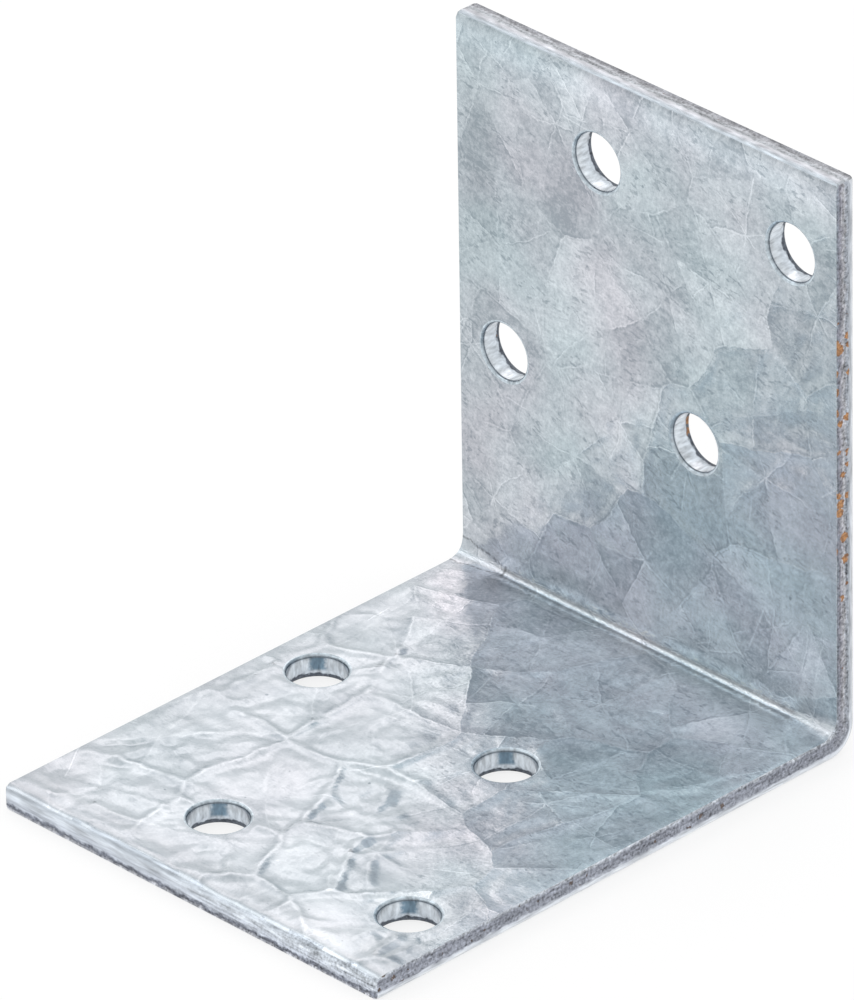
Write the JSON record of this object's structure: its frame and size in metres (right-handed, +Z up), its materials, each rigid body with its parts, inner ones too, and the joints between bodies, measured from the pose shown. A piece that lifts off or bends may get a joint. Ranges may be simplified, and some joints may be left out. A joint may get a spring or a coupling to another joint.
{
  "type": "angle bracket",
  "caption": "Square angle bracket, folded once from galvanised steel sheet, with staggered punched screw holes in both legs.",
  "frame": {"origin": "middle of the outline seen from above, on the outer face of the flat leg", "axes": "+Z up along the upright leg, +Y from the tip of the flat leg to the heel, +X along the fold"},
  "size_m": [0.0394, 0.05, 0.0486],
  "materials": {
    "galvanised_sheet": "hot-dip zinc coating with large spangles, satin; cut edges bare, dull grey with rust specks"
  },
  "bodies": {
    "root": {"bracket": "galvanised_sheet"}
  },
  "joints": []
}
